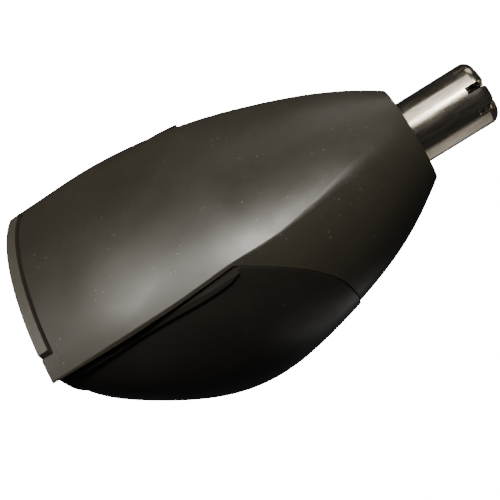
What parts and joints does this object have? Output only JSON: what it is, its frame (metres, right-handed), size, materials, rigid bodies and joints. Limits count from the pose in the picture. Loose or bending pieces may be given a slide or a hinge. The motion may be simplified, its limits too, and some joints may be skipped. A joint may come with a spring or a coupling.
{
  "type": "nose hair trimmer",
  "caption": "Click-on nose hair trimmer head: round slotted steel cutting tube on an egg-shaped two-part shell, with a spinning inner cutter driven through gears from a socket in its base.",
  "frame": {"origin": "foot of the cutting axis on the coupling face", "axes": "+Z along the cutting axis from the coupling face to the tip; -Y is the flat front panel; +X is the object's left-right width"},
  "size_m": [0.0364, 0.0349, 0.0623],
  "materials": {
    "front_shell": "satin moulded",
    "rear_shell": "satin moulded",
    "shell_gasket": "moulded",
    "base_plate": "moulded",
    "guide_lip": "moulded",
    "housing_screws": "zinc plated",
    "gear_case": "moulded",
    "gear_cover": "moulded",
    "cover_screws": "zinc plated",
    "spindle_bush_lower": "sintered",
    "spindle_bush_upper": "sintered",
    "input_bush": "sintered",
    "input_seal": "moulded",
    "spindle_seal": "moulded",
    "thrust_disc": "ground",
    "input_shaft": "ground",
    "drive_socket": "moulded",
    "drive_gear": "moulded acetal",
    "spindle_pinion": "cut",
    "input_clip": "spring steel",
    "spindle_clip": "spring steel",
    "spindle": "ground",
    "spindle_sleeve": "moulded",
    "nozzle_carrier": "moulded",
    "cutter_tube": "polished stainless",
    "spring_seat": "stamped",
    "cutter_spring": "drawn wire",
    "inner_cutter": "ground"
  },
  "bodies": {
    "housing": {"front_shell": "front_shell", "rear_shell": "rear_shell", "shell_gasket": "shell_gasket", "base_plate": "base_plate", "guide_lip": "guide_lip", "housing_screws": "housing_screws", "gear_case": "gear_case", "gear_cover": "gear_cover", "cover_screws": "cover_screws", "spindle_bush_lower": "spindle_bush_lower", "spindle_bush_upper": "spindle_bush_upper", "input_bush": "input_bush", "input_seal": "input_seal", "spindle_seal": "spindle_seal", "thrust_disc": "thrust_disc", "spindle_sleeve": "spindle_sleeve", "nozzle_carrier": "nozzle_carrier", "cutter_tube": "cutter_tube"},
    "input_drive": {"input_shaft": "input_shaft", "drive_socket": "drive_socket", "drive_gear": "drive_gear", "input_clip": "input_clip"},
    "spindle_line": {"spindle": "spindle", "spindle_pinion": "spindle_pinion", "spindle_clip": "spindle_clip", "spring_seat": "spring_seat", "cutter_spring": "cutter_spring"},
    "cutter": {"inner_cutter": "inner_cutter"}
  },
  "joints": [
    {"name": "spindle_spin", "type": "hinge", "parent": "housing", "child": "spindle_line", "pos_m": [0, 0, 0.03], "axis": [0, 0, 1], "continuous": true},
    {"name": "input_spin", "type": "hinge", "parent": "housing", "child": "input_drive", "pos_m": [0, -0.0056, 0.005], "axis": [0, 0, 1], "continuous": true},
    {"name": "cutter_float", "type": "slide", "parent": "spindle_line", "child": "cutter", "axis": [0, 0, 1], "range_m": [-0.0006, 0], "stiffness_N_per_m": 60, "springref_m": 0.004, "deforming": ["cutter_spring"]}
  ],
  "couplings": [
    {"joint": "input_spin", "follows": "spindle_spin", "ratio": -0.6}
  ]
}
